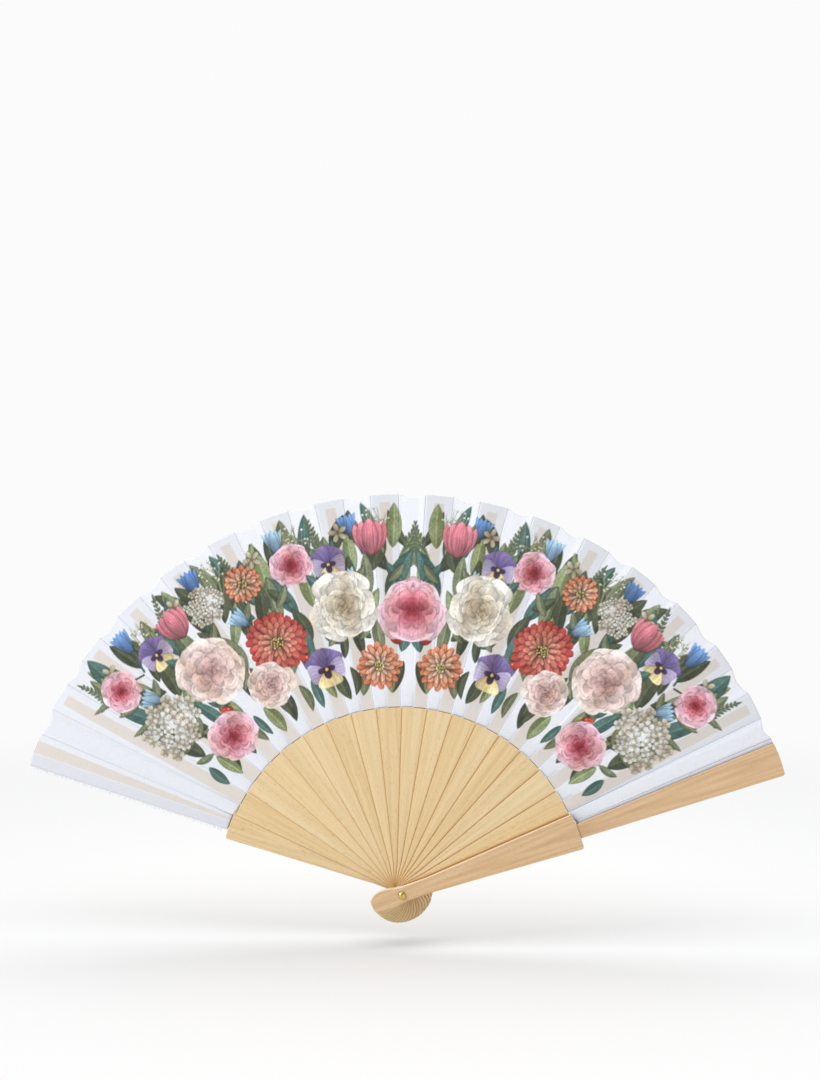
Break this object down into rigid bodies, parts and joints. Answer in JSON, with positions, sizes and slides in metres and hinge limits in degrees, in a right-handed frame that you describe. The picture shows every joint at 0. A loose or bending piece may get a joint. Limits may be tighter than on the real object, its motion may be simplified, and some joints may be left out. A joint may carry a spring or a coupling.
{
  "type": "hand fan",
  "caption": "Folding hand fan: flat wooden sticks turn on one rivet between two thicker guards, and a pleated printed cloth leaf joins their outer halves.",
  "frame": {"origin": "on the rivet's axis, at the flat back end of the rivet, which is the rearmost point of the fan", "axes": "+Z from the rivet towards the middle of the open leaf, +X towards the front guard's side, -Y towards someone looking at the printed face"},
  "size_m": [0.4046, 0.0206, 0.2297],
  "materials": {
    "rib_wood": "fine sanded, unvarnished, pale yellow",
    "guard_wood": "fine sanded, waxed, light tan",
    "leaf_cloth": "white plain-weave cloth with a floral print on its front",
    "rivet_brass": "polished"
  },
  "bodies": {
    "stick_00": {"back_guard": "guard_wood", "rivet": "rivet_brass", "rivet_washer": "rivet_brass", "leaf_pleat_00": "leaf_cloth"},
    "stick_01": {"rib_01": "rib_wood", "leaf_pleat_01": "leaf_cloth"},
    "stick_02": {"rib_02": "rib_wood", "leaf_pleat_02": "leaf_cloth"},
    "stick_03": {"rib_03": "rib_wood", "leaf_pleat_03": "leaf_cloth"},
    "stick_04": {"rib_04": "rib_wood", "leaf_pleat_04": "leaf_cloth"},
    "stick_05": {"rib_05": "rib_wood", "leaf_pleat_05": "leaf_cloth"},
    "stick_06": {"rib_06": "rib_wood", "leaf_pleat_06": "leaf_cloth"},
    "stick_07": {"rib_07": "rib_wood", "leaf_pleat_07": "leaf_cloth"},
    "stick_08": {"rib_08": "rib_wood", "leaf_pleat_08": "leaf_cloth"},
    "stick_09": {"rib_09": "rib_wood", "leaf_pleat_09": "leaf_cloth"},
    "stick_10": {"rib_10": "rib_wood", "leaf_pleat_10": "leaf_cloth"},
    "stick_11": {"rib_11": "rib_wood", "leaf_pleat_11": "leaf_cloth"},
    "stick_12": {"rib_12": "rib_wood", "leaf_pleat_12": "leaf_cloth"},
    "stick_13": {"rib_13": "rib_wood", "leaf_pleat_13": "leaf_cloth"},
    "stick_14": {"rib_14": "rib_wood", "leaf_pleat_14": "leaf_cloth"},
    "stick_15": {"rib_15": "rib_wood", "leaf_pleat_15": "leaf_cloth"},
    "stick_16": {"rib_16": "rib_wood", "leaf_pleat_16": "leaf_cloth"},
    "stick_17": {"front_guard": "guard_wood", "leaf_pleat_17": "leaf_cloth"}
  },
  "joints": [
    {"name": "stick_01_turn", "type": "hinge", "parent": "stick_00", "child": "stick_01", "pos_m": [0, -0.00473, 0], "axis": [0, 1, 0], "range_deg": [-8.25, 0]},
    {"name": "stick_02_turn", "type": "hinge", "parent": "stick_01", "child": "stick_02", "pos_m": [0, -0.00547, 0], "axis": [0, 1, 0], "range_deg": [-8.35, 0]},
    {"name": "stick_03_turn", "type": "hinge", "parent": "stick_02", "child": "stick_03", "pos_m": [0, -0.00622, 0], "axis": [0, 1, 0], "range_deg": [-8.42, 0]},
    {"name": "stick_04_turn", "type": "hinge", "parent": "stick_03", "child": "stick_04", "pos_m": [0, -0.00698, 0], "axis": [0, 1, 0], "range_deg": [-8.44, 0]},
    {"name": "stick_05_turn", "type": "hinge", "parent": "stick_04", "child": "stick_05", "pos_m": [0, -0.00773, 0], "axis": [0, 1, 0], "range_deg": [-8.42, 0]},
    {"name": "stick_06_turn", "type": "hinge", "parent": "stick_05", "child": "stick_06", "pos_m": [0, -0.00847, 0], "axis": [0, 1, 0], "range_deg": [-8.35, 0]},
    {"name": "stick_07_turn", "type": "hinge", "parent": "stick_06", "child": "stick_07", "pos_m": [0, -0.00923, 0], "axis": [0, 1, 0], "range_deg": [-8.25, 0]},
    {"name": "stick_08_turn", "type": "hinge", "parent": "stick_07", "child": "stick_08", "pos_m": [0, -0.00997, 0], "axis": [0, 1, 0], "range_deg": [-8.15, 0]},
    {"name": "stick_09_turn", "type": "hinge", "parent": "stick_08", "child": "stick_09", "pos_m": [0, -0.01073, 0], "axis": [0, 1, 0], "range_deg": [-8.05, 0]},
    {"name": "stick_10_turn", "type": "hinge", "parent": "stick_09", "child": "stick_10", "pos_m": [0, -0.01148, 0], "axis": [0, 1, 0], "range_deg": [-7.98, 0]},
    {"name": "stick_11_turn", "type": "hinge", "parent": "stick_10", "child": "stick_11", "pos_m": [0, -0.01222, 0], "axis": [0, 1, 0], "range_deg": [-7.96, 0]},
    {"name": "stick_12_turn", "type": "hinge", "parent": "stick_11", "child": "stick_12", "pos_m": [0, -0.01298, 0], "axis": [0, 1, 0], "range_deg": [-7.98, 0]},
    {"name": "stick_13_turn", "type": "hinge", "parent": "stick_12", "child": "stick_13", "pos_m": [0, -0.01372, 0], "axis": [0, 1, 0], "range_deg": [-8.05, 0]},
    {"name": "stick_14_turn", "type": "hinge", "parent": "stick_13", "child": "stick_14", "pos_m": [0, -0.01448, 0], "axis": [0, 1, 0], "range_deg": [-8.15, 0]},
    {"name": "stick_15_turn", "type": "hinge", "parent": "stick_14", "child": "stick_15", "pos_m": [0, -0.01523, 0], "axis": [0, 1, 0], "range_deg": [-8.2, 0]},
    {"name": "stick_16_turn", "type": "hinge", "parent": "stick_15", "child": "stick_16", "pos_m": [0, -0.01597, 0], "axis": [0, 1, 0], "range_deg": [-8.2, 0]},
    {"name": "stick_17_turn", "type": "hinge", "parent": "stick_16", "child": "stick_17", "pos_m": [0, -0.0164, 0], "axis": [0, 1, 0], "range_deg": [-8.2, 0]}
  ],
  "couplings": [
    {"joint": "stick_02_turn", "follows": "stick_01_turn", "ratio": 1.0119},
    {"joint": "stick_03_turn", "follows": "stick_01_turn", "ratio": 1.0201},
    {"joint": "stick_04_turn", "follows": "stick_01_turn", "ratio": 1.0231},
    {"joint": "stick_05_turn", "follows": "stick_01_turn", "ratio": 1.0201},
    {"joint": "stick_06_turn", "follows": "stick_01_turn", "ratio": 1.0119},
    {"joint": "stick_07_turn", "follows": "stick_01_turn", "ratio": 1},
    {"joint": "stick_08_turn", "follows": "stick_01_turn", "ratio": 0.9868},
    {"joint": "stick_09_turn", "follows": "stick_01_turn", "ratio": 0.97491},
    {"joint": "stick_10_turn", "follows": "stick_01_turn", "ratio": 0.96668},
    {"joint": "stick_11_turn", "follows": "stick_01_turn", "ratio": 0.96375},
    {"joint": "stick_12_turn", "follows": "stick_01_turn", "ratio": 0.96668},
    {"joint": "stick_13_turn", "follows": "stick_01_turn", "ratio": 0.97491},
    {"joint": "stick_14_turn", "follows": "stick_01_turn", "ratio": 0.9868},
    {"joint": "stick_15_turn", "follows": "stick_01_turn", "ratio": 0.9934},
    {"joint": "stick_16_turn", "follows": "stick_01_turn", "ratio": 0.9934},
    {"joint": "stick_17_turn", "follows": "stick_01_turn", "ratio": 0.9934}
  ]
}
